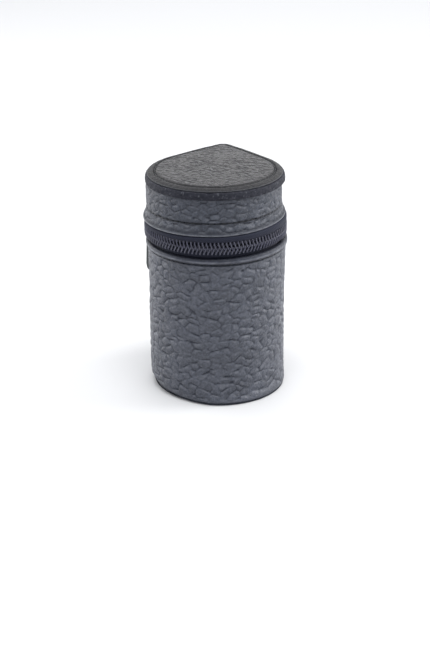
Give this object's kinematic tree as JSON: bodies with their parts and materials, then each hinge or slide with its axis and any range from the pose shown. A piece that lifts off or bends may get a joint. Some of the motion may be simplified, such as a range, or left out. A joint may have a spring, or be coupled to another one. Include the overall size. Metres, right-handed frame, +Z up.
{
  "type": "dice cup",
  "caption": "Small leather dice cup, round with a pointed back, with a hinged lid that a zip closes all the way round.",
  "frame": {"origin": "on the axis of the round front wall, on the face that the cup stands on", "axes": "+Z up, +Y to the pointed back where the lid is hinged, -Y the front"},
  "size_m": [0.0594, 0.0685, 0.092],
  "materials": {
    "leather": "pebbled, satin",
    "panel": "fine grain, satin",
    "binding": "smooth, satin",
    "board": "grey-brown pulp board",
    "lining": "brushed felt",
    "thread": "waxed thread",
    "tape": "woven tape",
    "coil": "nylon, satin",
    "metal": "dark enamel"
  },
  "bodies": {
    "cup": {"base_leather": "binding", "base_board": "board", "base_lining": "lining", "body_leather": "leather", "body_board": "board", "body_lining": "lining", "body_stitching": "thread", "body_lip": "binding", "body_zip_tape": "tape", "body_zip_coil": "coil", "body_stop_left": "metal", "body_stop_right": "metal", "hinge_strip_lower": "binding"},
    "lid": {"lid_wall_leather": "leather", "lid_wall_stitching": "thread", "lid_wall_board": "board", "lid_wall_lining": "lining", "lid_top_lining": "lining", "lid_top_board": "board", "lid_rim_binding": "binding", "lid_top_leather": "panel", "lid_top_stitching": "thread", "lid_zip_tape": "tape", "lid_zip_coil": "coil", "lid_stop_left": "metal", "lid_stop_right": "metal", "hinge_strip_upper": "binding"},
    "slider": {"slider_body": "metal"},
    "pull_link": {"pull_link": "metal"},
    "pull_tab": {"pull_tab": "metal"}
  },
  "joints": [
    {"name": "lid_hinge", "type": "hinge", "parent": "cup", "child": "lid", "pos_m": [0, 0.03975, 0.0675], "axis": [-1, 0, 0], "range_deg": [0, 170]},
    {"name": "slider_travel", "type": "hinge", "parent": "cup", "child": "slider", "pos_m": [0, 0, 0.0675], "axis": [0, 0, 1], "range_deg": [-5, 238]},
    {"name": "link_swing", "type": "hinge", "parent": "slider", "child": "pull_link", "pos_m": [-0.02872, 0.01401, 0.0675], "axis": [0.4384, 0.8988, 0], "range_deg": [-5, 150]},
    {"name": "tab_swing", "type": "hinge", "parent": "pull_link", "child": "pull_tab", "pos_m": [-0.02872, 0.01401, 0.06465], "axis": [-0.8988, 0.4384, 0], "range_deg": [-75, 75]}
  ]
}
